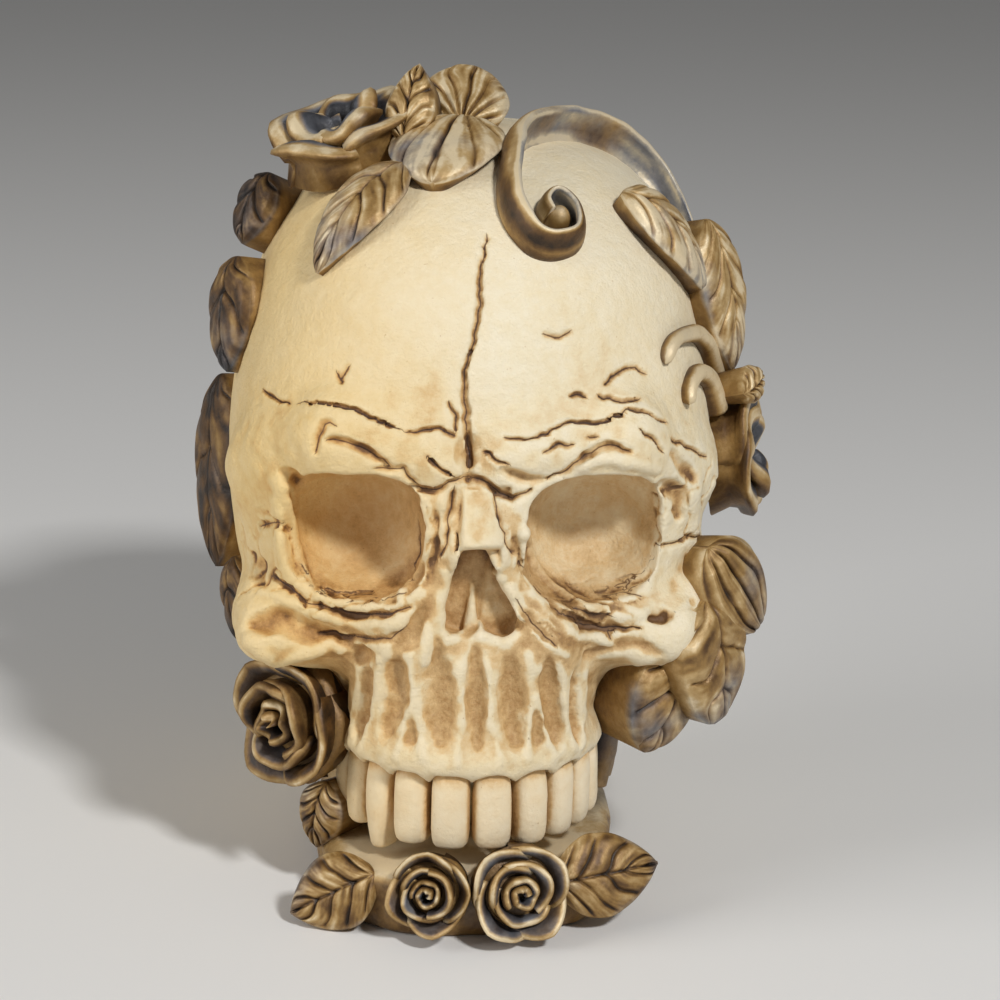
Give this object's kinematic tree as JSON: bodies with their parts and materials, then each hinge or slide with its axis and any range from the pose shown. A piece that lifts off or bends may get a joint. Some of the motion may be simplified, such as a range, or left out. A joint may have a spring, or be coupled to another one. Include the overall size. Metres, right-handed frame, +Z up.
{
  "type": "skull decoration",
  "caption": "Free-standing cast skull ornament with open eye sockets and nose, separate teeth and a low foot, dressed with bronze-finished roses, leaves, a scroll and stems.",
  "frame": {"origin": "on the flat underside of the foot, in the skull's middle plane, under the middle of the head", "axes": "+Z up along the skull's height, -Y the way the face looks, +X to the right as seen from the front"},
  "size_m": [0.1071, 0.126, 0.1468],
  "materials": {
    "bone": "matt antique ivory with a brown wash in the recesses",
    "tooth": "satin antique ivory with a brown wash between the teeth",
    "foot": "dark bronze paint",
    "ornament": "dark bronze paint with gold rubbed on the high points"
  },
  "bodies": {
    "root": {"skull_shell": "bone", "tooth_left_1": "tooth", "tooth_right_1": "tooth", "tooth_left_2": "tooth", "tooth_right_2": "tooth", "tooth_left_3": "tooth", "tooth_right_3": "tooth", "tooth_left_4": "tooth", "tooth_right_4": "tooth", "tooth_left_5": "tooth", "tooth_right_5": "tooth", "floral_foot": "foot", "rose_front_right": "ornament", "rose_front_left": "ornament", "rose_cheek": "ornament", "rose_crown": "ornament", "rose_side": "ornament", "crown_scroll": "ornament", "crown_leaf_high": "ornament", "crown_leaf_low": "ornament", "brow_leaf": "ornament", "crown_leaf_back": "ornament", "temple_leaf": "ornament", "side_bud": "ornament", "side_leaf_upper": "ornament", "left_leaf_upper": "ornament", "left_leaf_middle": "ornament", "left_leaf_long": "ornament", "left_leaf_lower": "ornament", "side_leaf_middle": "ornament", "side_leaf_low": "ornament", "side_leaf_lowest": "ornament", "jaw_leaf": "ornament", "base_leaf_right": "ornament", "base_leaf_left": "ornament", "temple_tendril_high": "ornament", "temple_tendril_low": "ornament", "stem_outer": "ornament", "stem_inner": "ornament"}
  },
  "joints": []
}
